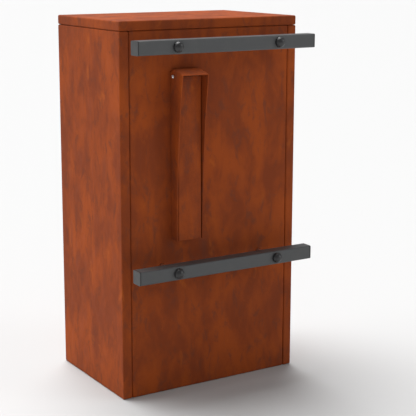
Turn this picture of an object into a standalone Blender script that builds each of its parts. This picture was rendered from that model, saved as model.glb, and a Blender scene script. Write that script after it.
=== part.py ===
"""Fence-mounted letterbox of folded sheet steel with a rust finish.

The box is made of folded panels: two side panels, one sheet that is both the front and the floor, a cap and
a rear header. Letters go in at the front, through a tall narrow slot under a hood with a swinging flap. They
come out at the back, through a door with a cam lock. Two square tubes bolt to the front, 30 mm away from it,
and clamp the box to the bars of a fence.

Units are metres and +Z is up. The front faces -Y, and the origin is the centre of the box's underside.
"""

import math

import bmesh
import bpy
from mathutils import Matrix, Vector

# Box
BOX_WIDTH = 0.300
BOX_DEPTH = 0.200
BOX_HEIGHT = 0.550
SHEET = 0.0012  # thickness of every folded panel
BEND = 0.0022  # outer radius of every fold
GAP = 0.0003  # room between pieces that touch
RUNNING_CLEARANCE = 0.0003  # room around a pin or a bolt in its hole

# Folded panels
CAP_HEIGHT = 0.0140
SIDE_FLANGE = 0.0150  # width of a side panel's flange, beside the front panel
RETURN_FOLD = 0.0120  # depth of the folds behind the flanges and panel edges
SILL_HEIGHT = 0.0200
HEADER_HEIGHT = 0.0200

# Letter slot, hood and flap, measured out from the front face and up from the underside
SLOT_CENTRE_X = -0.0464
HOOD_WIDTH = 0.0440
HOOD_BOTTOM = 0.2314
HOOD_FOOT_REACH = 0.0170  # how far the cheeks stand out at the foot
HOOD_REACH = 0.0330  # how far they stand out at the top
HOOD_CURVE_START = 0.2500  # height above which the cheeks widen
HOOD_SLOPE = math.radians(15.6)  # fall of the top plate
HOOD_CREST = 0.0105  # radius of the hood's outside round the flap pin
HOOD_FLANGE = 0.0100
FLAP_PIN_OUT = 0.0077
FLAP_PIN_HEIGHT = 0.4702
FLAP_DEPTH = 0.0120
FLAP_SIDE_GAP = 0.0010
FLAP_EAR = 0.0050  # radius of the ear round the pin
FLAP_PIN_RADIUS = 0.0020
FLAP_PIN_HEAD_RADIUS = 0.0028
FLAP_PIN_HEAD_HEIGHT = 0.0030
FLAP_PIN_TAIL = 0.0030  # length beyond the hood
CLIP_RADIUS = 0.0045
CLIP_THICKNESS = 0.0006
CLIP_DISH = 0.0005

# Fence clamp
FENCE_GAP = 0.0300  # room for the bars of the fence
BAR_SIZE = 0.0200
BAR_WALL = 0.0015
BAR_CORNER = 0.0018
BAR_LENGTH = 0.2960  # with its end caps
UPPER_BAR_HEIGHT = 0.5155
LOWER_BAR_HEIGHT = 0.1945
END_CAP_FLANGE = 0.0015
END_CAP_DEPTH = 0.0100
END_CAP_RIBS = 2
END_CAP_RIB_DEPTH = 0.0006

# Clamp bolts: M6 button heads under domed covers, with washers and self-locking nuts inside the box
BOLT_X = 0.0850
BOLT_RADIUS = 0.0030
BOLT_END = 0.0030  # thread beyond the nut
BOLT_CHAMFER = 0.0006
BOLT_HEAD_RADIUS = 0.00525
BOLT_HEAD_HEIGHT = 0.0033
BOLT_HEAD_RIM = 0.0006
BOLT_SOCKET = 0.0040
BOLT_SOCKET_DEPTH = 0.0018
WASHER_RADIUS = 0.0060
WASHER_THICKNESS = 0.0016
NUT_WIDTH = 0.0100
NUT_HEX_HEIGHT = 0.0046
NUT_COLLAR_HEIGHT = 0.0014
NUT_COLLAR_RADIUS = 0.0045
COVER_RADIUS = 0.0077
COVER_HEIGHT = 0.0072
COVER_RIM = 0.0008
COVER_WALL = 0.0011

# Rear door, hung on two pins
DOOR_HINGE_GAP = 0.0020
DOOR_GAP = 0.0015
DOOR_PIN_IN = 0.0070  # from the door's hinge edge to the pins' axis
DOOR_PIN_DOWN = 0.0050  # from the door's outer face to the pins' axis
DOOR_PIN_RADIUS = 0.0020
DOOR_PIN_HEAD_RADIUS = 0.0035
DOOR_PIN_HEAD_HEIGHT = 0.0015
DOOR_PIN_REACH = 0.0040  # length beyond the far side of the frame's sheet

# Cam lock
LOCK_INSET = 0.0215  # from the door's free edge
LOCK_HEIGHT = 0.2750
LOCK_FLANGE_RADIUS = 0.0110
LOCK_FLANGE_THICKNESS = 0.0020
LOCK_FLANGE_CHAMFER = 0.0007
LOCK_BODY_RADIUS = 0.0090
LOCK_BODY_FLAT = 0.0080  # from the axis to each flat
LOCK_BODY_LENGTH = 0.0130
LOCK_FLAT_RELIEF = 0.0002
PLUG_HEAD_RADIUS = 0.0063
PLUG_RADIUS = 0.0053
PLUG_SEAT = 0.0008  # height of the barrel's inner step above the door's face
PLUG_RECESS = 0.0005
PLUG_TAIL = 0.0070
KEY_SLOT_WIDTH = 0.0018
KEY_SLOT_LENGTH = 0.0080
KEY_SLOT_DEPTH = 0.0090
LOCK_NUT_WIDTH = 0.0230
LOCK_NUT_THICKNESS = 0.0030
CAM_THICKNESS = 0.0020
CAM_WIDTH = 0.0140
CAM_REACH = 0.0330
CAM_HUB_RADIUS = 0.0085
CAM_CORNER = 0.0030
CAM_SCREW_RADIUS = 0.0020
CAM_SCREW_DEPTH = 0.0070
CAM_SCREW_HEAD_RADIUS = 0.0042
CAM_SCREW_HEAD_HEIGHT = 0.0024

# Fineness of the meshes
BEND_SEGMENTS = 3
TURNED_STEPS = 20
LOCK_STEPS = 32
BORE_SEGMENTS = 20
DOME_POINTS = 6
HOOD_EDGE_POINTS = 9
CREST_POINTS = 6
EAR_POINTS = 9
CUT_MARGIN = 0.0020  # how far a cutter runs past what it cuts
FOLD_ANGLE = math.radians(40.0)  # flatter edges are facets of a curve

# Places worked out from the sizes above
FRONT_Y = -BOX_DEPTH / 2
REAR_Y = BOX_DEPTH / 2
BODY_TOP = BOX_HEIGHT - CAP_HEIGHT - GAP
SEAM_X = BOX_WIDTH / 2 - SIDE_FLANGE
PANEL_X = SEAM_X - GAP
PANEL_INSIDE_Y = FRONT_Y + SHEET
BAR_BACK_Y = FRONT_Y - FENCE_GAP
BAR_FRONT_Y = BAR_BACK_Y - BAR_SIZE
FLAP_PIN = Vector((SLOT_CENTRE_X, FRONT_Y - FLAP_PIN_OUT, FLAP_PIN_HEIGHT))
FLAP_STANDOFF = HOOD_CREST - SHEET - GAP
FLAP_FRONT_OUT = FLAP_PIN_OUT + FLAP_STANDOFF
FLAP_BACK_OUT = FLAP_FRONT_OUT - FLAP_DEPTH
DOOR_HINGE_EDGE_X = SEAM_X - DOOR_HINGE_GAP
DOOR_FREE_EDGE_X = -(SEAM_X - DOOR_GAP)
DOOR_BOTTOM = SILL_HEIGHT + DOOR_GAP
DOOR_TOP = BODY_TOP - HEADER_HEIGHT - DOOR_GAP
DOOR_AXIS = Vector((DOOR_HINGE_EDGE_X - DOOR_PIN_IN, REAR_Y - DOOR_PIN_DOWN, 0.0))
LOCK_CENTRE = Vector((DOOR_FREE_EDGE_X + LOCK_INSET, REAR_Y, LOCK_HEIGHT))

FORWARD = Vector((0.0, -1.0, 0.0))
REARWARD = Vector((0.0, 1.0, 0.0))
LEFTWARD = Vector((-1.0, 0.0, 0.0))
RIGHTWARD = Vector((1.0, 0.0, 0.0))
UPWARD = Vector((0.0, 0.0, 1.0))
DOWNWARD = Vector((0.0, 0.0, -1.0))


# Scene, materials and objects


def clear_scene():
    """Removes every object, so that the model is the only thing in the file."""
    for old in list(bpy.data.objects):
        bpy.data.objects.remove(old, do_unlink=True)


def new_collection(name):
    """Returns a new collection that hangs under the scene's own."""
    collection = bpy.data.collections.new(name)
    bpy.context.scene.collection.children.link(collection)
    return collection


def new_material(name, colour, roughness, metallic):
    """Returns a Principled material."""
    material = bpy.data.materials.new(name)
    material.use_nodes = True
    shader = material.node_tree.nodes["Principled BSDF"]
    shader.inputs["Base Color"].default_value = (*colour, 1.0)
    shader.inputs["Roughness"].default_value = roughness
    shader.inputs["Metallic"].default_value = metallic
    material.diffuse_color = (*colour, 1.0)
    return material


clear_scene()
PIECES = new_collection("fence_letterbox")
CUTTERS = new_collection("fence_letterbox_cutters")
RUST = new_material("rust_finish", (0.36, 0.11, 0.04), 0.75, 0.2)
BAR_COAT = new_material("dark_grey_coat", (0.06, 0.065, 0.07), 0.45, 0.3)
BLACK_PLASTIC = new_material("black_plastic", (0.02, 0.02, 0.02), 0.45, 0.0)
ZINC = new_material("zinc_plate", (0.62, 0.63, 0.65), 0.35, 1.0)
NICKEL = new_material("nickel_plate", (0.68, 0.66, 0.62), 0.25, 1.0)


def new_axis(name, place):
    """Returns an empty at a joint's axis, to carry the pieces that turn about it."""
    axis = bpy.data.objects.new(name, None)
    axis.empty_display_size = 0.02
    axis.location = place
    PIECES.objects.link(axis)
    return axis


def mesh_object(name, bm, collection=None):
    """Turns a bmesh into an object at the origin, and frees the bmesh."""
    mesh = bpy.data.meshes.new(name)
    bm.to_mesh(mesh)
    bm.free()
    obj = bpy.data.objects.new(name, mesh)
    (collection or PIECES).objects.link(obj)
    return obj


def dress(obj, material, smooth=False):
    """Gives an object its one material, and smooth shading with sharp corners if asked."""
    obj.data.materials.append(material)
    if smooth:
        obj.data.shade_smooth()
        obj.data.set_sharp_from_angle(angle=math.radians(30.0))
    return obj


def hang(obj, axis):
    """Makes an object turn with a joint's axis, and puts its own origin there."""
    obj.data.transform(Matrix.Translation(-axis.location))
    obj.parent = axis
    return obj


# Cutters and Boolean modifiers


def as_cutter(obj):
    """Hides an object that only cuts or joins others."""
    obj.hide_render = True
    obj.display_type = "WIRE"
    return obj


def block(low, high):
    """Returns a bmesh box between two corners."""
    bm = bmesh.new()
    bmesh.ops.create_cube(bm, size=1.0)
    bmesh.ops.scale(bm, vec=Vector(high) - Vector(low), verts=bm.verts)
    bmesh.ops.translate(bm, vec=(Vector(high) + Vector(low)) / 2, verts=bm.verts)
    bm.normal_update()
    return bm


def block_cutter(name, low, high):
    """Returns a box that cuts."""
    return as_cutter(mesh_object(name, block(low, high), CUTTERS))


def rod(start, end, radius, segments=BORE_SEGMENTS, turn=0.0):
    """Returns a bmesh cylinder or prism from one point to another."""
    start, end = Vector(start), Vector(end)
    run = end - start
    bm = bmesh.new()
    bmesh.ops.create_cone(
        bm, cap_ends=True, segments=segments, radius1=radius, radius2=radius, depth=run.length
    )
    lean = run.to_track_quat("Z", "Y").to_matrix().to_4x4()
    place = Matrix.Translation((start + end) / 2) @ lean @ Matrix.Rotation(turn, 4, "Z")
    bmesh.ops.transform(bm, matrix=place, verts=bm.verts)
    return bm


def rod_cutter(name, start, end, radius, segments=BORE_SEGMENTS, turn=0.0):
    """Returns a cylinder or prism that cuts."""
    return as_cutter(mesh_object(name, rod(start, end, radius, segments, turn), CUTTERS))


def combine(obj, other, operation="DIFFERENCE"):
    """Cuts another object out of this one, or joins it on."""
    modifier = obj.modifiers.new(operation.lower(), "BOOLEAN")
    modifier.operation = operation
    modifier.solver = "EXACT"
    modifier.object = other
    return obj


# Folded sheet


def delete_faces(bm, unwanted):
    """Removes the faces for which unwanted(face) is true."""
    bmesh.ops.delete(bm, geom=[face for face in bm.faces if unwanted(face)], context="FACES")


def tray(low, high, open_side, rim=0.0):
    """Returns a box's surface that is open towards open_side, or has only a rim there."""
    bm = block(low, high)
    lid = max(bm.faces, key=lambda face: face.normal.dot(open_side))
    if rim > 0.0:
        bmesh.ops.inset_region(bm, faces=[lid], thickness=rim, use_even_offset=True)
    bmesh.ops.delete(bm, geom=[lid], context="FACES")
    return bm


def prism_x(outline, left, right):
    """Returns a bmesh prism whose section is an outline of (y, z) points, between two values of x."""
    bm = bmesh.new()
    section = bm.faces.new([bm.verts.new((left, y, z)) for y, z in outline])
    extruded = bmesh.ops.extrude_face_region(bm, geom=[section])
    far_verts = [item for item in extruded["geom"] if isinstance(item, bmesh.types.BMVert)]
    bmesh.ops.translate(bm, vec=(right - left, 0.0, 0.0), verts=far_verts)
    bmesh.ops.recalc_face_normals(bm, faces=bm.faces)
    return bm


def folded_sheet(name, bm, material=RUST):
    """Rounds the folds of an open surface and gives it the sheet's thickness on its inner side."""
    bm.normal_update()
    folds = [edge for edge in bm.edges if len(edge.link_faces) == 2 and edge.calc_face_angle() > FOLD_ANGLE]
    bmesh.ops.bevel(
        bm, geom=folds, offset=BEND, segments=BEND_SEGMENTS, profile=0.5, affect="EDGES",
        clamp_overlap=True, material=-1,
    )
    obj = mesh_object(name, bm)
    thickness = obj.modifiers.new("sheet", "SOLIDIFY")
    thickness.thickness = SHEET
    thickness.offset = -1.0
    thickness.use_even_offset = True
    return dress(obj, material, smooth=True)


# Turned pieces


def arc(centre, radius, start, end, points):
    """Returns points along an arc, from one angle to another, both ends included."""
    steps = [start + (end - start) * i / (points - 1) for i in range(points)]
    return [(centre[0] + radius * math.cos(a), centre[1] + radius * math.sin(a)) for a in steps]


def dome_profile(radius, height, foot, points=DOME_POINTS):
    """Returns (radius, height) points from a dome's crown down to its edge, at height foot."""
    turns = [math.pi / 2 * (1.0 - i / (points - 1)) for i in range(points)]
    return [(radius * math.cos(a), foot + height * math.sin(a)) for a in turns[:-1]] + [(radius, foot)]


def turned(name, profile, place, direction, material, steps=TURNED_STEPS, ring=False):
    """Spins a profile of (radius, height) points about a line through place along direction."""
    mesh = bpy.data.meshes.new(name)
    points = [(0.0 if radius < GAP / 100 else radius, 0.0, height) for radius, height in profile]
    edges = [(i, i + 1) for i in range(len(points) - 1)]
    if ring:
        edges.append((len(points) - 1, 0))
    mesh.from_pydata(points, edges, [])
    obj = bpy.data.objects.new(name, mesh)
    PIECES.objects.link(obj)
    obj.rotation_euler = direction.to_track_quat("Z", "Y").to_euler()
    obj.location = place
    spin = obj.modifiers.new("turned", "SCREW")
    spin.axis = "Z"
    spin.steps = steps
    spin.render_steps = steps
    spin.use_merge_vertices = True
    spin.merge_threshold = 0.00001
    spin.use_smooth_shade = False
    mesh.materials.append(material)
    return obj


# Box


def side_panel(name, side):
    """One folded panel: a side wall with flanges all round and a return fold behind them."""
    outer = side * BOX_WIDTH / 2
    inner = side * SEAM_X
    low = (min(outer, inner), FRONT_Y, 0.0)
    high = (max(outer, inner), REAR_Y, BODY_TOP)
    return folded_sheet(name, tray(low, high, Vector((-side, 0.0, 0.0)), rim=RETURN_FOLD))


def front_and_floor_panel(bolt_bores, flap_slot, door_pin_bore):
    """The front, the floor and the rear sill, folded from one sheet with returns along its edges."""
    front_inner = FRONT_Y + RETURN_FOLD
    rear_inner = REAR_Y - RETURN_FOLD
    outline = [
        (FRONT_Y, 0.0), (REAR_Y, 0.0), (REAR_Y, SILL_HEIGHT), (rear_inner, SILL_HEIGHT),
        (rear_inner, RETURN_FOLD), (front_inner, RETURN_FOLD), (front_inner, BODY_TOP), (FRONT_Y, BODY_TOP),
    ]
    bm = prism_x(outline, -PANEL_X, PANEL_X)

    def faces_inside(face):
        """True for the faces of the prism that the sheet doesn't have."""
        centre = face.calc_center_median()
        in_front = face.normal.y > 0.9 and centre.y < 0.0
        on_floor = face.normal.z > 0.9 and centre.z < SILL_HEIGHT - GAP
        at_sill = face.normal.y < -0.9 and centre.y > 0.0
        return in_front or on_floor or at_sill

    delete_faces(bm, faces_inside)
    panel = folded_sheet("front_and_floor_panel", bm)
    for cutter in [flap_slot, door_pin_bore, *bolt_bores]:
        combine(panel, cutter)
    return panel


def top_cap():
    """The cap, a shallow tray upside down, with a return fold that rests on the panels' top flanges."""
    low = (-BOX_WIDTH / 2, FRONT_Y, BOX_HEIGHT - CAP_HEIGHT)
    high = (BOX_WIDTH / 2, REAR_Y, BOX_HEIGHT)
    return folded_sheet("top_cap", tray(low, high, DOWNWARD, rim=RETURN_FOLD))


def rear_header(door_pin_bore):
    """The channel across the top of the door opening."""
    low = (-PANEL_X, REAR_Y - RETURN_FOLD, BODY_TOP - HEADER_HEIGHT)
    high = (PANEL_X, REAR_Y, BODY_TOP)
    return combine(folded_sheet("rear_header", tray(low, high, FORWARD)), door_pin_bore)


# Letter slot


def hood_crest_end():
    """Angle round the flap pin at which the hood's outside comes to the back of the front panel."""
    return math.acos(-(FLAP_PIN_OUT + SHEET + GAP) / HOOD_CREST)


def slot_cutter():
    """The opening in the front panel, which the hood passes through."""
    crest_at_face = math.acos(-FLAP_PIN_OUT / HOOD_CREST)
    top = FLAP_PIN_HEIGHT + HOOD_CREST * math.sin(crest_at_face) + GAP
    half = HOOD_WIDTH / 2 + GAP
    low = (SLOT_CENTRE_X - half, FRONT_Y - CUT_MARGIN, HOOD_BOTTOM - GAP)
    high = (SLOT_CENTRE_X + half, PANEL_INSIDE_Y + CUT_MARGIN, top)
    return block_cutter("letter_slot_cutter", low, high)


def slot_hood(pin_bore):
    """The hood: two cheeks with a curved front edge, a sloping top and a sill, and flanges inside the box."""
    pin_y, pin_z = FLAP_PIN.y, FLAP_PIN.z
    back_y = PANEL_INSIDE_Y + GAP
    sill_y = FRONT_Y - FLAP_BACK_OUT + GAP
    crest_start = math.pi / 2 - HOOD_SLOPE
    slope_start_out = FLAP_PIN_OUT + HOOD_CREST * math.cos(crest_start)
    slope_start_z = pin_z + HOOD_CREST * math.sin(crest_start)
    tip_z = slope_start_z - (HOOD_REACH - slope_start_out) * math.tan(HOOD_SLOPE)
    rise = tip_z - HOOD_CURVE_START
    spread = HOOD_REACH - HOOD_FOOT_REACH
    radius = (rise**2 + spread**2) / (2.0 * spread)
    sweep = math.asin(rise / radius)
    front_edge = []
    for i in range(HOOD_EDGE_POINTS):
        angle = sweep * i / (HOOD_EDGE_POINTS - 1)
        reach = HOOD_FOOT_REACH + radius * (1.0 - math.cos(angle))
        front_edge.append((FRONT_Y - reach, HOOD_CURVE_START + radius * math.sin(angle)))
    crest = [
        (pin_y - HOOD_CREST * math.cos(a), pin_z + HOOD_CREST * math.sin(a))
        for a in [
            crest_start + (hood_crest_end() - crest_start) * i / (CREST_POINTS - 1) for i in range(CREST_POINTS)
        ]
    ]
    outline = [
        (back_y, HOOD_BOTTOM), (sill_y, HOOD_BOTTOM), (FRONT_Y - HOOD_FOOT_REACH, HOOD_BOTTOM),
        *front_edge, *crest,
    ]
    left, right = SLOT_CENTRE_X - HOOD_WIDTH / 2, SLOT_CENTRE_X + HOOD_WIDTH / 2
    bm = prism_x(outline, left, right)

    def faces_open(face):
        """True for the prism's faces where the hood is open: its front, its back and under the flap."""
        centre = face.calc_center_median()
        under_flap = face.normal.z < -0.9 and centre.y < sill_y
        behind = face.normal.y > 0.99 and centre.y > FRONT_Y
        return face.normal.y < -0.5 or behind or under_flap

    delete_faces(bm, faces_open)
    back_edges = [
        edge for edge in bm.edges
        if edge.is_boundary and all(abs(v.co.y - back_y) < GAP / 10 for v in edge.verts)
        and abs(edge.verts[0].co.x - edge.verts[1].co.x) < GAP / 10
    ]
    for edge in back_edges:
        outward = math.copysign(HOOD_FLANGE, edge.verts[0].co.x - SLOT_CENTRE_X)
        flange = bmesh.ops.extrude_edge_only(bm, edges=[edge])
        moved = [item for item in flange["geom"] if isinstance(item, bmesh.types.BMVert)]
        bmesh.ops.translate(bm, vec=(outward, 0.0, 0.0), verts=moved)
    bmesh.ops.recalc_face_normals(bm, faces=bm.faces)
    top_plate = max(bm.faces, key=lambda face: face.calc_center_median().z * (abs(face.normal.x) < 0.5))
    if top_plate.normal.z < 0.0:
        bmesh.ops.reverse_faces(bm, faces=bm.faces)
    return combine(folded_sheet("slot_hood", bm), pin_bore)


def slot_flap(pin_bore, axis):
    """The flap: a shallow pan with round ears, hung on the pin between the hood's cheeks."""
    pin_y, pin_z = FLAP_PIN.y, FLAP_PIN.z
    front_y = FRONT_Y - FLAP_FRONT_OUT
    back_y = FRONT_Y - FLAP_BACK_OUT
    ear_start = math.acos(FLAP_EAR / FLAP_STANDOFF)
    ear_end = 2.0 * math.pi - math.acos(-(FLAP_DEPTH - FLAP_STANDOFF) / FLAP_EAR)
    ear = [
        (pin_y - FLAP_EAR * math.cos(a), pin_z + FLAP_EAR * math.sin(a))
        for a in [ear_start + (ear_end - ear_start) * i / (EAR_POINTS - 1) for i in range(EAR_POINTS)]
    ]
    outline = [(back_y, HOOD_BOTTOM), (front_y, HOOD_BOTTOM), (front_y, pin_z), *ear]
    half = HOOD_WIDTH / 2 - SHEET - FLAP_SIDE_GAP
    bm = prism_x(outline, SLOT_CENTRE_X - half, SLOT_CENTRE_X + half)

    def faces_open(face):
        """True for the prism's faces that the pan doesn't have: its back and its top."""
        is_cheek = abs(face.normal.x) > 0.9
        is_plate = face.normal.y < -0.99
        is_foot = face.normal.z < -0.99
        return not (is_cheek or is_plate or is_foot)

    delete_faces(bm, faces_open)
    return hang(combine(folded_sheet("slot_flap", bm), pin_bore), axis)


def flap_pin_bore():
    """The hole for the flap pin, through the hood and the flap."""
    run = Vector((HOOD_WIDTH / 2 + CUT_MARGIN, 0.0, 0.0))
    radius = FLAP_PIN_RADIUS + RUNNING_CLEARANCE
    return rod_cutter("flap_pin_bore", FLAP_PIN - run, FLAP_PIN + run, radius)


def flap_pin():
    """The pin: a domed head outside the left cheek, and a tail outside the right one."""
    length = HOOD_WIDTH + FLAP_PIN_TAIL + GAP
    profile = [
        *dome_profile(FLAP_PIN_HEAD_RADIUS, FLAP_PIN_HEAD_RADIUS, FLAP_PIN_HEAD_HEIGHT - FLAP_PIN_HEAD_RADIUS),
        (FLAP_PIN_HEAD_RADIUS, 0.0), (FLAP_PIN_RADIUS, 0.0),
        (FLAP_PIN_RADIUS, BOLT_CHAMFER - length), (FLAP_PIN_RADIUS - BOLT_CHAMFER, -length), (0.0, -length),
    ]
    place = FLAP_PIN + LEFTWARD * (HOOD_WIDTH / 2 + GAP)
    return turned("flap_pin", profile, place, LEFTWARD, ZINC)


def flap_pin_clip():
    """The push-on clip that holds the pin's tail, a dished ring against the right cheek."""
    bore = FLAP_PIN_RADIUS + RUNNING_CLEARANCE
    profile = [
        (bore, CLIP_DISH + CLIP_THICKNESS), (CLIP_RADIUS, CLIP_THICKNESS), (CLIP_RADIUS, 0.0), (bore, CLIP_DISH),
    ]
    place = FLAP_PIN + RIGHTWARD * (HOOD_WIDTH / 2 + GAP)
    return turned("flap_pin_clip", profile, place, RIGHTWARD, ZINC, ring=True)


# Fence clamp


def clamp_bar(name, height, bolt_bores):
    """A square tube across the front, bored for its two bolts."""
    half_length = BAR_LENGTH / 2 - END_CAP_FLANGE - GAP
    low = (-half_length, BAR_FRONT_Y, height - BAR_SIZE / 2)
    high = (half_length, BAR_BACK_Y, height + BAR_SIZE / 2)
    bm = block(low, high)
    long_edges = [
        edge for edge in bm.edges if abs(edge.verts[0].co.x - edge.verts[1].co.x) > half_length
    ]
    bmesh.ops.bevel(
        bm, geom=long_edges, offset=BAR_CORNER, segments=BEND_SEGMENTS, profile=0.5, affect="EDGES",
        clamp_overlap=True, material=-1,
    )
    delete_faces(bm, lambda face: abs(face.normal.x) > 0.9)
    bar = mesh_object(name, bm)
    wall = bar.modifiers.new("wall", "SOLIDIFY")
    wall.thickness = BAR_WALL
    wall.offset = -1.0
    wall.use_even_offset = True
    for bore in bolt_bores:
        combine(bar, bore)
    return dress(bar, BAR_COAT, smooth=True)


def end_cap(name, height, side):
    """The plastic plug in a tube's end: a flange, and a stem with ribs that grip the bore."""
    inner = side * (BAR_LENGTH / 2 - END_CAP_FLANGE)
    outer = side * BAR_LENGTH / 2
    low = (min(inner, outer), BAR_FRONT_Y, height - BAR_SIZE / 2)
    high = (max(inner, outer), BAR_BACK_Y, height + BAR_SIZE / 2)
    bm = block(low, high)
    thickness_edges = [
        edge for edge in bm.edges if abs(edge.verts[0].co.x - edge.verts[1].co.x) > END_CAP_FLANGE / 2
    ]
    bmesh.ops.bevel(
        bm, geom=thickness_edges, offset=BAR_CORNER, segments=BEND_SEGMENTS, profile=0.5, affect="EDGES",
        clamp_overlap=True, material=-1,
    )
    bm.normal_update()
    stem = max(bm.faces, key=lambda face: -side * face.normal.x)
    bmesh.ops.inset_region(bm, faces=[stem], thickness=BAR_WALL + GAP, use_even_offset=True)
    rib_pitch = END_CAP_DEPTH / (2 * END_CAP_RIBS)
    for step in range(2 * END_CAP_RIBS):
        stem = grown_face(bm, stem)
        bmesh.ops.translate(bm, vec=(-side * rib_pitch, 0.0, 0.0), verts=stem.verts)
        if step < 2 * END_CAP_RIBS - 1:
            stem = grown_face(bm, stem)
            centre = stem.calc_center_median()
            ease = END_CAP_RIB_DEPTH if step % 2 == 0 else -END_CAP_RIB_DEPTH
            half = max(abs(vert.co.z - centre.z) for vert in stem.verts)
            factor = 1.0 - ease / half
            bmesh.ops.scale(
                bm, vec=(1.0, factor, factor), space=Matrix.Translation(-centre), verts=stem.verts
            )
    bmesh.ops.recalc_face_normals(bm, faces=bm.faces)
    return dress(mesh_object(name, bm), BLACK_PLASTIC)


def grown_face(bm, face):
    """Extrudes a face in place, removes the old one and returns the new end face."""
    grown = bmesh.ops.extrude_face_region(bm, geom=[face])
    bmesh.ops.delete(bm, geom=[face], context="FACES_ONLY")
    return next(item for item in grown["geom"] if isinstance(item, bmesh.types.BMFace))


def bolt_bore(name, x, height):
    """The hole for a clamp bolt, through a bar and the front panel."""
    start = (x, BAR_FRONT_Y - CUT_MARGIN, height)
    end = (x, PANEL_INSIDE_Y + CUT_MARGIN, height)
    return rod_cutter(name, start, end, BOLT_RADIUS + RUNNING_CLEARANCE)


def head_washer_y():
    """Where the washer under a bolt's head starts, on the bar's front."""
    return BAR_FRONT_Y - GAP


def head_seat_y():
    """Where the underside of a bolt's head is."""
    return head_washer_y() - WASHER_THICKNESS - GAP


def nut_washer_y():
    """Where the washer under a nut starts, inside the box."""
    return PANEL_INSIDE_Y + GAP


def nut_seat_y():
    """Where a nut starts, on its washer."""
    return nut_washer_y() + WASHER_THICKNESS + GAP


def clamp_bolt(name, x, height):
    """An M6 button-head bolt from the bar's front to the nut inside the box."""
    nut_height = NUT_HEX_HEIGHT + NUT_COLLAR_HEIGHT
    length = nut_seat_y() + nut_height + BOLT_END - head_seat_y()
    profile = [
        *dome_profile(BOLT_HEAD_RADIUS, BOLT_HEAD_HEIGHT - BOLT_HEAD_RIM, BOLT_HEAD_RIM),
        (BOLT_HEAD_RADIUS, 0.0), (BOLT_RADIUS, 0.0),
        (BOLT_RADIUS, BOLT_CHAMFER - length), (BOLT_RADIUS - BOLT_CHAMFER, -length), (0.0, -length),
    ]
    bolt = turned(name, profile, (x, head_seat_y(), height), FORWARD, ZINC)
    crown = head_seat_y() - BOLT_HEAD_HEIGHT
    socket = rod_cutter(
        name + "_socket", (x, crown - CUT_MARGIN, height), (x, crown + BOLT_SOCKET_DEPTH, height),
        BOLT_SOCKET / math.sqrt(3.0), segments=6,
    )
    return combine(bolt, socket)


def washer(name, x, start_y, height):
    """A flat M6 washer that starts at start_y and is WASHER_THICKNESS deep towards the back."""
    bore = BOLT_RADIUS + RUNNING_CLEARANCE
    profile = [(bore, WASHER_THICKNESS), (WASHER_RADIUS, WASHER_THICKNESS), (WASHER_RADIUS, 0.0), (bore, 0.0)]
    return turned(name, profile, (x, start_y, height), REARWARD, ZINC, ring=True)


def clamp_nut(name, x, height):
    """A self-locking M6 nut: a hexagon with a round collar, bored through."""
    start = nut_seat_y()
    hexagon = rod(
        (x, start, height), (x, start + NUT_HEX_HEIGHT, height), NUT_WIDTH / math.sqrt(3.0), segments=6
    )
    nut = mesh_object(name, hexagon)
    collar_end = start + NUT_HEX_HEIGHT + NUT_COLLAR_HEIGHT
    collar = rod_cutter(
        name + "_collar", (x, start + NUT_HEX_HEIGHT / 2, height), (x, collar_end, height), NUT_COLLAR_RADIUS
    )
    bore = rod_cutter(
        name + "_bore", (x, start - CUT_MARGIN, height), (x, collar_end + CUT_MARGIN, height),
        BOLT_RADIUS + RUNNING_CLEARANCE,
    )
    combine(nut, collar, "UNION")
    return combine(dress(nut, ZINC), bore)


def bolt_cover(name, x, height):
    """The hollow plastic dome over a bolt's head."""
    inner = COVER_RADIUS - COVER_WALL
    outside = dome_profile(COVER_RADIUS, COVER_HEIGHT - COVER_RIM, COVER_RIM)
    inside = dome_profile(inner, COVER_HEIGHT - COVER_RIM - COVER_WALL, COVER_RIM)
    profile = [*outside, (COVER_RADIUS, 0.0), (inner, 0.0), *reversed(inside)]
    return turned(name, profile, (x, BAR_FRONT_Y - GAP, height), FORWARD, BLACK_PLASTIC)


# Rear door


def door_pin_bore(name, inner_z, outer_z):
    """The hole for a door pin, through the door's return and the frame's sheet."""
    radius = DOOR_PIN_RADIUS + RUNNING_CLEARANCE
    return rod_cutter(name, DOOR_AXIS + UPWARD * inner_z, DOOR_AXIS + UPWARD * outer_z, radius)


def rear_door(pin_bores, axis):
    """The door, a pan with returns all round, bored for its pins and the lock."""
    low = (DOOR_FREE_EDGE_X, REAR_Y - RETURN_FOLD, DOOR_BOTTOM)
    high = (DOOR_HINGE_EDGE_X, REAR_Y, DOOR_TOP)
    door = folded_sheet("rear_door", tray(low, high, FORWARD))
    for cutter in [*pin_bores, lock_body_hole()]:
        combine(door, cutter)
    return hang(door, axis)


def door_pin(name, seat_z, direction, axis):
    """A headed pin that stands on the inside of the door's return and turns in the frame."""
    length = SHEET + DOOR_GAP + SHEET + GAP + DOOR_PIN_REACH
    profile = [
        (0.0, length), (DOOR_PIN_RADIUS - BOLT_CHAMFER, length), (DOOR_PIN_RADIUS, length - BOLT_CHAMFER),
        (DOOR_PIN_RADIUS, 0.0), (DOOR_PIN_HEAD_RADIUS, 0.0),
        (DOOR_PIN_HEAD_RADIUS, -DOOR_PIN_HEAD_HEIGHT), (0.0, -DOOR_PIN_HEAD_HEIGHT),
    ]
    pin = turned(name, profile, (0.0, 0.0, seat_z), direction, ZINC)
    pin.parent = axis
    return pin


# Cam lock


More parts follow.
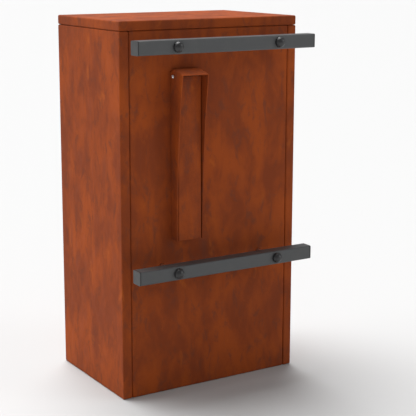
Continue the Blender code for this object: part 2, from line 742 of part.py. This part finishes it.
def flatted_rod(start_y, end_y, radius, flat):
    """Returns a bmesh cylinder along Y at the lock, with a flat on each side."""
    bm = rod((LOCK_CENTRE.x, start_y, LOCK_CENTRE.z), (LOCK_CENTRE.x, end_y, LOCK_CENTRE.z), radius, LOCK_STEPS)
    for side in (LEFTWARD, RIGHTWARD):
        plane = LOCK_CENTRE + side * flat
        cut = bmesh.ops.bisect_plane(
            bm, geom=[*bm.verts, *bm.edges, *bm.faces], dist=GAP / 1000, plane_co=plane, plane_no=side,
            clear_outer=True,
        )
        rim = [item for item in cut["geom_cut"] if isinstance(item, bmesh.types.BMEdge)]
        bmesh.ops.edgeloop_fill(bm, edges=rim)
    bmesh.ops.recalc_face_normals(bm, faces=bm.faces)
    return bm


def lock_body_hole():
    """The flatted hole in the door for the lock's barrel."""
    bm = flatted_rod(
        REAR_Y - SHEET - CUT_MARGIN, REAR_Y + CUT_MARGIN, LOCK_BODY_RADIUS + GAP, LOCK_BODY_FLAT + GAP
    )
    return as_cutter(mesh_object("lock_body_hole", bm, CUTTERS))


def lock_barrel(axis):
    """The fixed barrel: a flange outside the door, a flatted body and a stepped bore."""
    face = GAP + LOCK_FLANGE_THICKNESS
    head_bore = PLUG_HEAD_RADIUS + RUNNING_CLEARANCE
    bore = PLUG_RADIUS + RUNNING_CLEARANCE
    profile = [
        (head_bore, face), (LOCK_FLANGE_RADIUS - LOCK_FLANGE_CHAMFER, face),
        (LOCK_FLANGE_RADIUS, face - LOCK_FLANGE_CHAMFER), (LOCK_FLANGE_RADIUS, GAP), (LOCK_BODY_RADIUS, GAP),
        (LOCK_BODY_RADIUS, -LOCK_BODY_LENGTH), (bore, -LOCK_BODY_LENGTH), (bore, PLUG_SEAT),
        (head_bore, PLUG_SEAT),
    ]
    barrel = turned("lock_barrel", profile, LOCK_CENTRE - axis.location, REARWARD, NICKEL, LOCK_STEPS, ring=True)
    barrel.parent = axis
    for side in (-1.0, 1.0):
        near, far = side * LOCK_BODY_FLAT, side * (LOCK_BODY_RADIUS + CUT_MARGIN)
        low = LOCK_CENTRE + Vector((min(near, far), -LOCK_BODY_LENGTH - CUT_MARGIN, -LOCK_BODY_RADIUS))
        high = LOCK_CENTRE + Vector((max(near, far), GAP - LOCK_FLAT_RELIEF, LOCK_BODY_RADIUS))
        combine(barrel, block_cutter("lock_flat_cutter_" + ("left" if side < 0.0 else "right"), low, high))
    return barrel


def lock_fixing_nut(axis):
    """The thin hexagon nut that holds the barrel from inside the door."""
    start = LOCK_CENTRE + FORWARD * (SHEET + GAP)
    end = start + FORWARD * LOCK_NUT_THICKNESS
    nut = mesh_object("lock_fixing_nut", rod(start, end, LOCK_NUT_WIDTH / math.sqrt(3.0), segments=6))
    bore = rod_cutter(
        "lock_fixing_nut_bore", start + REARWARD * CUT_MARGIN, end + FORWARD * CUT_MARGIN,
        LOCK_BODY_RADIUS + RUNNING_CLEARANCE, LOCK_STEPS,
    )
    return hang(combine(dress(nut, ZINC), bore), axis)


def lock_plug(axis):
    """The turning plug: a shouldered head with a key slot, and a square tail that carries the cam."""
    face = GAP + LOCK_FLANGE_THICKNESS - PLUG_RECESS
    shoulder = PLUG_SEAT + GAP
    profile = [
        (0.0, face), (PLUG_HEAD_RADIUS, face), (PLUG_HEAD_RADIUS, shoulder), (PLUG_RADIUS, shoulder),
        (PLUG_RADIUS, -LOCK_BODY_LENGTH), (0.0, -LOCK_BODY_LENGTH),
    ]
    plug = turned("lock_plug", profile, (0.0, 0.0, 0.0), REARWARD, NICKEL, LOCK_STEPS)
    plug.parent = axis
    half = PLUG_TAIL / 2
    tail_low = LOCK_CENTRE + Vector((-half, -LOCK_BODY_LENGTH - CAM_THICKNESS, -half))
    tail_high = LOCK_CENTRE + Vector((half, -LOCK_BODY_LENGTH / 2, half))
    combine(plug, block_cutter("lock_plug_tail", tail_low, tail_high), "UNION")
    slot_low = LOCK_CENTRE + Vector((-KEY_SLOT_WIDTH / 2, face - KEY_SLOT_DEPTH, -KEY_SLOT_LENGTH / 2))
    slot_high = LOCK_CENTRE + Vector((KEY_SLOT_WIDTH / 2, face + CUT_MARGIN, KEY_SLOT_LENGTH / 2))
    combine(plug, block_cutter("key_slot_cutter", slot_low, slot_high))
    tail_end = LOCK_CENTRE + FORWARD * (LOCK_BODY_LENGTH + CAM_THICKNESS)
    screw_hole = rod_cutter(
        "cam_screw_hole", tail_end + FORWARD * CUT_MARGIN, tail_end + REARWARD * (CAM_SCREW_DEPTH + GAP),
        CAM_SCREW_RADIUS + RUNNING_CLEARANCE,
    )
    return combine(plug, screw_hole)


def lock_cam(axis):
    """The cam: a flat tongue on the plug's square tail, which points down while the door is unlocked."""
    front = LOCK_CENTRE + FORWARD * (LOCK_BODY_LENGTH + GAP)
    rear = front + FORWARD * CAM_THICKNESS
    low = Vector((front.x - CAM_WIDTH / 2, rear.y, front.z - CAM_REACH))
    high = Vector((front.x + CAM_WIDTH / 2, front.y, front.z))
    bm = block(low, high)
    tip_edges = [
        edge for edge in bm.edges
        if all(abs(v.co.z - low.z) < GAP / 10 for v in edge.verts)
        and abs(edge.verts[0].co.x - edge.verts[1].co.x) < GAP / 10
    ]
    bmesh.ops.bevel(
        bm, geom=tip_edges, offset=CAM_CORNER, segments=BEND_SEGMENTS, profile=0.5, affect="EDGES",
        clamp_overlap=True, material=-1,
    )
    cam = dress(mesh_object("lock_cam", bm), ZINC)
    combine(cam, rod_cutter("lock_cam_hub", front, rear, CAM_HUB_RADIUS, LOCK_STEPS), "UNION")
    half = PLUG_TAIL / 2 + GAP
    hole_low = rear + Vector((-half, -CUT_MARGIN, -half))
    hole_high = front + Vector((half, CUT_MARGIN, half))
    return hang(combine(cam, block_cutter("lock_cam_hole", hole_low, hole_high)), axis)


def cam_screw(axis):
    """The screw that holds the cam on the plug's tail."""
    seat = LOCK_BODY_LENGTH + GAP + CAM_THICKNESS + GAP
    depth = seat - (LOCK_BODY_LENGTH + CAM_THICKNESS) + CAM_SCREW_DEPTH
    profile = [
        *dome_profile(CAM_SCREW_HEAD_RADIUS, CAM_SCREW_HEAD_HEIGHT, 0.0, 4),
        (CAM_SCREW_RADIUS, 0.0), (CAM_SCREW_RADIUS, -depth), (0.0, -depth),
    ]
    screw = turned("cam_screw", profile, (0.0, -seat, 0.0), FORWARD, ZINC)
    screw.parent = axis
    return screw


# Assembly


def build():
    """Makes every piece."""
    side_panel("left_side_panel", -1.0)
    side_panel("right_side_panel", 1.0)
    top_cap()

    bars = {"upper": UPPER_BAR_HEIGHT, "lower": LOWER_BAR_HEIGHT}
    sides = {"left": -1.0, "right": 1.0}
    bores = {}
    for row, height in bars.items():
        bores[row] = [
            bolt_bore(f"bolt_bore_{row}_{side}", sign * BOLT_X, height) for side, sign in sides.items()
        ]
        clamp_bar(f"{row}_clamp_bar", height, bores[row])
        for side, sign in sides.items():
            x = sign * BOLT_X
            end_cap(f"bar_end_cap_{row}_{side}", height, sign)
            clamp_bolt(f"clamp_bolt_{row}_{side}", x, height)
            washer(f"head_washer_{row}_{side}", x, head_washer_y() - WASHER_THICKNESS, height)
            washer(f"nut_washer_{row}_{side}", x, nut_washer_y(), height)
            clamp_nut(f"clamp_nut_{row}_{side}", x, height)
            bolt_cover(f"bolt_cover_{row}_{side}", x, height)

    top_seat = DOOR_TOP - SHEET - GAP
    bottom_seat = DOOR_BOTTOM + SHEET + GAP
    top_bore = door_pin_bore("door_pin_bore_top", top_seat - CUT_MARGIN, DOOR_TOP + DOOR_GAP + SHEET + CUT_MARGIN)
    bottom_bore = door_pin_bore("door_pin_bore_bottom", bottom_seat + CUT_MARGIN, SILL_HEIGHT - SHEET - CUT_MARGIN)
    front_and_floor_panel([*bores["upper"], *bores["lower"]], slot_cutter(), bottom_bore)
    rear_header(top_bore)

    flap_axis = new_axis("flap_axis", FLAP_PIN)
    pin_bore = flap_pin_bore()
    slot_hood(pin_bore)
    slot_flap(pin_bore, flap_axis)
    flap_pin()
    flap_pin_clip()

    door_axis = new_axis("door_axis", DOOR_AXIS)
    rear_door([top_bore, bottom_bore], door_axis)
    door_pin("door_pin_top", top_seat, UPWARD, door_axis)
    door_pin("door_pin_bottom", bottom_seat, DOWNWARD, door_axis)
    lock_barrel(door_axis)
    lock_fixing_nut(door_axis)

    lock_axis = new_axis("lock_axis", LOCK_CENTRE)
    lock_plug(lock_axis)
    lock_cam(lock_axis)
    cam_screw(lock_axis)


build()
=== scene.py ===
"""The looks of a fence-mounted letterbox of rust-finished sheet steel.

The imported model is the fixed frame, in metres, with +Z up and the front facing -Y. Its pieces are shown as they
are packed, each in the finish of its material slot, on a pale floor in soft light.
"""

import logging
import math
from dataclasses import dataclass
from enum import Enum
from typing import Any

import bmesh
import bpy
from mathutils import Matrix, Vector

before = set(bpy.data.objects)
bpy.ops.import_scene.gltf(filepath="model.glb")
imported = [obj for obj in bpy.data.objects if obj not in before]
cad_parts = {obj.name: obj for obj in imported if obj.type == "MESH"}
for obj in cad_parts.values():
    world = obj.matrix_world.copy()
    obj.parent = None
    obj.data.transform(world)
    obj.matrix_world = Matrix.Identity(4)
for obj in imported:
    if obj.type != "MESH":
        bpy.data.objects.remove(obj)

LOG = logging.getLogger("letterbox")
Point = tuple[float, float, float]
Colour = tuple[float, float, float]
Range = tuple[float, float]


class Slot(Enum):
    """The record's material slots."""

    RUST = "rust_finish"
    BAR_COAT = "bar_coat"
    PLASTIC = "black_plastic"
    ZINC = "zinc_plate"
    NICKEL = "nickel_plate"


# Materials


class Graph:
    """A material's node tree, with short calls for the nodes that the finishes share."""

    def __init__(self, name: str) -> None:
        """Starts a Principled material.

        Args:
            name: The material's name.
        """
        self.material = bpy.data.materials.new(name)
        self.material.use_nodes = True
        self.tree = self.material.node_tree
        self.shader = self.tree.nodes["Principled BSDF"]
        self.coords = self.add("ShaderNodeTexCoord").outputs["Object"]

    def add(self, kind: str, inputs: dict[Any, Any] | None = None, **settings: Any) -> bpy.types.Node:
        """Adds a node.

        Args:
            kind: Its Blender type.
            inputs: A value or a socket to link for each named or numbered input.
            settings: The node's own properties.

        Returns:
            The new node.
        """
        node = self.tree.nodes.new(kind)
        for key, value in settings.items():
            setattr(node, key, value)
        for key, value in (inputs or {}).items():
            if isinstance(value, bpy.types.NodeSocket):
                self.tree.links.new(value, node.inputs[key])
            else:
                node.inputs[key].default_value = value
        return node

    def stretched(self, scale: Point, turn: float = 0.0) -> bpy.types.NodeSocket:
        """Returns the piece's coordinates, scaled along each axis so that a pattern runs long or short there."""
        inputs = {"Vector": self.coords, "Scale": scale, "Rotation": (0.0, 0.0, turn)}
        return self.add("ShaderNodeMapping", inputs).outputs["Vector"]

    def noise(
        self, scale: float, detail: float = 4.0, roughness: float = 0.55, where: bpy.types.NodeSocket | None = None,
        distortion: float = 0.0,
    ) -> bpy.types.NodeSocket:
        """Returns a noise pattern.

        Args:
            scale: Waves in a metre.
            detail: Finer octaves.
            roughness: How strong the finer octaves are.
            where: Coordinates, if they aren't the piece's own.
            distortion: How far the pattern is pulled about.

        Returns:
            Its value, about 0.5 in the middle.
        """
        inputs = {
            "Vector": where or self.coords, "Scale": scale, "Detail": detail, "Roughness": roughness,
            "Distortion": distortion,
        }
        return self.add("ShaderNodeTexNoise", inputs).outputs["Fac"]

    def remap(
        self, value: bpy.types.NodeSocket, low: float, high: float, out_low: float = 0.0, out_high: float = 1.0
    ) -> bpy.types.NodeSocket:
        """Returns the value, with low to high eased to out_low to out_high and held there beyond them."""
        inputs = {"Value": value, "From Min": low, "From Max": high, "To Min": out_low, "To Max": out_high}
        return self.add("ShaderNodeMapRange", inputs, interpolation_type="SMOOTHSTEP").outputs["Result"]

    def math(self, operation: str, first: Any, second: Any = 0.0) -> bpy.types.NodeSocket:
        """Returns the result of an arithmetic operation on values or sockets."""
        return self.add("ShaderNodeMath", {0: first, 1: second}, operation=operation).outputs[0]

    def mix(self, share: Any, first: Any, second: Any, blend: str = "MIX") -> bpy.types.NodeSocket:
        """Returns a mix of two colours, each a colour or a socket, by a share from 0 to 1."""
        colours = {
            name: (*value, 1.0) if isinstance(value, tuple) else value
            for name, value in (("A", first), ("B", second))
        }
        node = self.add("ShaderNodeMix", data_type="RGBA", blend_type=blend, clamp_factor=True)
        for key, value in (("Factor_Float", share), ("A_Color", colours["A"]), ("B_Color", colours["B"])):
            socket = next(item for item in node.inputs if item.identifier == key)
            if isinstance(value, bpy.types.NodeSocket):
                self.tree.links.new(value, socket)
            else:
                socket.default_value = value
        return next(item for item in node.outputs if item.identifier == "Result_Color")

    def grey(self, value: bpy.types.NodeSocket) -> bpy.types.NodeSocket:
        """Returns a grey whose three channels are the value."""
        return self.add("ShaderNodeCombineColor", {"Red": value, "Green": value, "Blue": value}).outputs["Color"]

    def bump(
        self, height: bpy.types.NodeSocket, distance: float, strength: float = 1.0,
        normal: bpy.types.NodeSocket | None = None,
    ) -> bpy.types.NodeSocket:
        """Returns a normal that is bumped by a height pattern, on top of another bump if one is given."""
        inputs = {"Height": height, "Distance": distance, "Strength": strength}
        if normal:
            inputs["Normal"] = normal
        return self.add("ShaderNodeBump", inputs).outputs["Normal"]

    def surface(self, **inputs: Any) -> bpy.types.Material:
        """Sets the shader's inputs, named with underscores for spaces, and returns the material."""
        for key, value in inputs.items():
            socket = self.shader.inputs[key.replace("_", " ")]
            if isinstance(value, bpy.types.NodeSocket):
                self.tree.links.new(value, socket)
            else:
                socket.default_value = (*value, 1.0) if isinstance(value, tuple) else value
        return self.material


@dataclass(frozen=True)
class RustFinish:
    """Sheet steel with an even, sealed layer of rust: cloudy blotches that run down the sheet, and a fine grain.

    Scales are in waves to the metre and depths in metres. A range is the part of a pattern over which a colour
    fades in.
    """

    name: str = "rust_finish_on_sheet"
    brown: Colour = (0.225, 0.046, 0.0135)
    orange: Colour = (0.345, 0.068, 0.0125)
    umber: Colour = (0.170, 0.048, 0.025)
    bloom: Colour = (0.430, 0.100, 0.016)
    cloud_scale: float = 26.0
    cloud_range: Range = (0.36, 0.66)
    fall: float = 0.45
    blotches_per_cloud: float = 2.6
    blotch_range: Range = (0.50, 0.68)
    blotch_strength: float = 0.75
    blooms_per_cloud: float = 1.3
    bloom_range: Range = (0.60, 0.74)
    bloom_strength: float = 0.6
    bloom_fall: float = 0.6
    bloom_turn: float = 0.7
    streak_scale: Point = (150.0, 150.0, 7.0)
    streak_range: Range = (0.56, 0.80)
    streak_strength: float = 0.35
    grain_scale: float = 1400.0
    grain_depth: float = 0.00004
    grain_shades: Range = (0.86, 1.12)
    pit_scale: float = 420.0
    pit_depth: float = 0.00010
    rough: Range = (0.56, 0.76)
    grain_rough: Range = (-0.05, 0.07)
    gloss: float = 0.08

    def material(self) -> bpy.types.Material:
        """Builds the finish's nodes."""
        graph = Graph(self.name)
        falling = graph.stretched((1.0, 1.0, self.fall))
        blooming = graph.stretched((1.0, 1.0, self.bloom_fall), self.bloom_turn)
        clouds = graph.noise(self.cloud_scale, 7.0, 0.62, falling, 0.35)
        blotches = graph.noise(self.cloud_scale * self.blotches_per_cloud, 8.0, 0.68, falling, 0.6)
        blooms = graph.noise(self.cloud_scale * self.blooms_per_cloud, 6.0, 0.6, blooming, 0.5)
        streaks = graph.noise(1.0, 5.0, 0.6, graph.stretched(self.streak_scale))
        grain = graph.noise(self.grain_scale, 3.0, 0.6)
        pits = graph.noise(self.pit_scale, 4.0, 0.65)
        colour = graph.mix(graph.remap(clouds, *self.cloud_range), self.brown, self.orange)
        for pattern, span, strength, tint in (
            (blotches, self.blotch_range, self.blotch_strength, self.umber),
            (blooms, self.bloom_range, self.bloom_strength, self.bloom),
            (streaks, self.streak_range, self.streak_strength, self.umber),
        ):
            colour = graph.mix(graph.remap(pattern, *span, 0.0, strength), colour, tint)
        colour = graph.mix(1.0, colour, graph.grey(graph.remap(grain, 0.25, 0.75, *self.grain_shades)), "MULTIPLY")
        sheet_rough = graph.remap(blotches, 0.3, 0.7, *self.rough)
        rough = graph.math("ADD", sheet_rough, graph.remap(grain, 0.3, 0.7, *self.grain_rough))
        normal = graph.bump(grain, self.grain_depth, 0.6, graph.bump(pits, self.pit_depth, 0.55))
        return graph.surface(Base_Color=colour, Roughness=rough, Normal=normal, Specular_IOR_Level=self.gloss)


@dataclass(frozen=True)
class PowderCoat:
    """Dark grey powder coat on the clamp bars: satin, with a fine orange-peel skin."""

    name: str = "dark_grey_powder_coat"
    colour: Colour = (0.062, 0.064, 0.066)
    dust: Colour = (0.092, 0.090, 0.086)
    dust_scale: float = 60.0
    dust_strength: float = 0.35
    peel_scale: float = 900.0
    peel_depth: float = 0.00003
    rough: Range = (0.36, 0.48)

    def material(self) -> bpy.types.Material:
        """Builds the coat's nodes."""
        graph = Graph(self.name)
        dusting = graph.noise(self.dust_scale, 5.0, 0.6)
        colour = graph.mix(graph.remap(dusting, 0.45, 0.75, 0.0, self.dust_strength), self.colour, self.dust)
        normal = graph.bump(graph.noise(self.peel_scale, 2.0, 0.5), self.peel_depth, 0.5)
        return graph.surface(Base_Color=colour, Roughness=graph.remap(dusting, 0.3, 0.7, *self.rough), Normal=normal)


@dataclass(frozen=True)
class MouldedPlastic:
    """Black moulded plastic: the bolt covers and the plugs in the bars' ends."""

    name: str = "black_moulded_plastic"
    colour: Colour = (0.020, 0.020, 0.021)
    worn_share: float = 1.6
    wear_scale: float = 140.0
    wear_strength: float = 0.3
    texture_scale: float = 1600.0
    texture_depth: float = 0.00002
    rough: Range = (0.29, 0.42)

    def material(self) -> bpy.types.Material:
        """Builds the plastic's nodes."""
        graph = Graph(self.name)
        wear = graph.noise(self.wear_scale, 4.0, 0.6)
        worn = tuple(self.worn_share * channel for channel in self.colour)
        colour = graph.mix(graph.remap(wear, 0.45, 0.8, 0.0, self.wear_strength), self.colour, worn)
        normal = graph.bump(graph.noise(self.texture_scale, 2.0, 0.5), self.texture_depth, 0.4)
        return graph.surface(Base_Color=colour, Roughness=graph.remap(wear, 0.3, 0.7, *self.rough), Normal=normal)


@dataclass(frozen=True)
class PlatedMetal:
    """Plated steel or brass: bolts, nuts, washers, pins and the lock."""

    name: str
    colour: Colour
    shade: Colour
    rough: Range
    mottle_scale: float = 500.0
    mottle_strength: float = 0.6
    scratch_scale: Point = (2600.0, 500.0, 2600.0)
    scratch_turn: float = 0.3
    scratch_depth: float = 0.00001

    def material(self) -> bpy.types.Material:
        """Builds the plating's nodes."""
        graph = Graph(self.name)
        mottle = graph.noise(self.mottle_scale, 4.0, 0.6)
        scratches = graph.noise(1.0, 3.0, 0.6, graph.stretched(self.scratch_scale, self.scratch_turn))
        colour = graph.mix(graph.remap(mottle, 0.42, 0.72, 0.0, self.mottle_strength), self.colour, self.shade)
        rough = graph.remap(scratches, 0.3, 0.75, *self.rough)
        normal = graph.bump(scratches, self.scratch_depth, 0.3)
        return graph.surface(Base_Color=colour, Roughness=rough, Metallic=1.0, Normal=normal)


class Letterbox:
    """The letterbox's pieces, each in the finish of its material slot."""

    def __init__(self) -> None:
        """Builds the finish of every slot."""
        zinc = PlatedMetal("zinc_plated_steel", (0.72, 0.73, 0.75), (0.52, 0.53, 0.56), (0.22, 0.40))
        nickel = PlatedMetal("nickel_plated_brass", (0.76, 0.73, 0.68), (0.60, 0.57, 0.52), (0.14, 0.32))
        self.finishes = {
            Slot.RUST: RustFinish().material(),
            Slot.BAR_COAT: PowderCoat().material(),
            Slot.PLASTIC: MouldedPlastic().material(),
            Slot.ZINC: zinc.material(),
            Slot.NICKEL: nickel.material(),
        }

    def dress(self) -> None:
        """Gives each piece its finish."""
        for name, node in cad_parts.items():
            worn = node.material_slots[0]
            slot = Slot(worn.material.name.split(".")[0])
            worn.material = self.finishes[slot]
            LOG.info("%s: %s", name, slot.value)


# Studio


@dataclass(frozen=True)
class Sun:
    """A distant soft light: its irradiance, the degrees across it, and the direction that its light travels in."""

    name: str
    strength: float
    softness: float
    towards: Point


@dataclass
class Studio:
    """A plain pale floor, soft light and the camera at the photograph's viewing angle."""

    camera_place: Point = (-0.894, -1.524, 0.641)
    camera_turn: float = math.radians(31.32)
    camera_tilt: float = math.radians(11.39)
    lens: float = 100.4
    shift: tuple[float, float] = (0.0307, -0.05)
    floor_size: float = 60.0
    floor_gap: float = 0.0002
    floor_colour: Colour = (0.55, 0.55, 0.55)
    sky_colour: Colour = (1.0, 1.0, 1.0)
    sky: float = 0.30
    suns: tuple[Sun, ...] = (
        Sun("overhead", 4.6, 50.0, (0.05, -0.50, -1.0)),
        Sun("left", 1.0, 40.0, (1.0, -0.50, -0.30)),
        Sun("right_front", 0.55, 30.0, (-0.9, 0.7, -0.45)),
    )

    def set_camera(self) -> None:
        """Adds the camera."""
        data = bpy.data.cameras.new("camera")
        data.lens = self.lens
        data.shift_x, data.shift_y = self.shift
        data.clip_end = self.floor_size
        camera = bpy.data.objects.new("camera", data)
        camera.location = self.camera_place
        camera.rotation_euler = (math.pi / 2 - self.camera_tilt, 0.0, -self.camera_turn)
        bpy.context.scene.collection.objects.link(camera)
        bpy.context.scene.camera = camera

    def lay_floor(self, low: float) -> None:
        """Adds the floor.

        Args:
            low: The height that the object stands on.
        """
        bm = bmesh.new()
        bmesh.ops.create_grid(bm, x_segments=1, y_segments=1, size=self.floor_size / 2)
        bmesh.ops.translate(bm, vec=(0.0, 0.0, low - self.floor_gap), verts=bm.verts)
        mesh = bpy.data.meshes.new("floor")
        bm.to_mesh(mesh)
        bm.free()
        floor = bpy.data.objects.new("floor", mesh)
        bpy.context.scene.collection.objects.link(floor)
        graph = Graph("pale_floor")
        mesh.materials.append(graph.surface(Base_Color=self.floor_colour, Roughness=0.9, Specular_IOR_Level=0.1))

    def light(self) -> None:
        """Adds the sky and the suns."""
        world = bpy.data.worlds.new("studio")
        world.use_nodes = True
        background = world.node_tree.nodes["Background"]
        background.inputs["Color"].default_value = (*self.sky_colour, 1.0)
        background.inputs["Strength"].default_value = self.sky
        bpy.context.scene.world = world
        bpy.context.scene.view_settings.view_transform = "Standard"
        for sun in self.suns:
            data = bpy.data.lights.new(sun.name, "SUN")
            data.energy = sun.strength
            data.angle = math.radians(sun.softness)
            light = bpy.data.objects.new(sun.name, data)
            light.rotation_euler = Vector(sun.towards).to_track_quat("-Z", "Y").to_euler()
            bpy.context.scene.collection.objects.link(light)


def main() -> None:
    """Builds the scene."""
    logging.basicConfig(level=logging.INFO, format="%(message)s")
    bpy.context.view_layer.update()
    studio = Studio()
    studio.set_camera()
    studio.lay_floor(0.0)
    studio.light()
    Letterbox().dress()


if __name__ == "__main__":
    main()
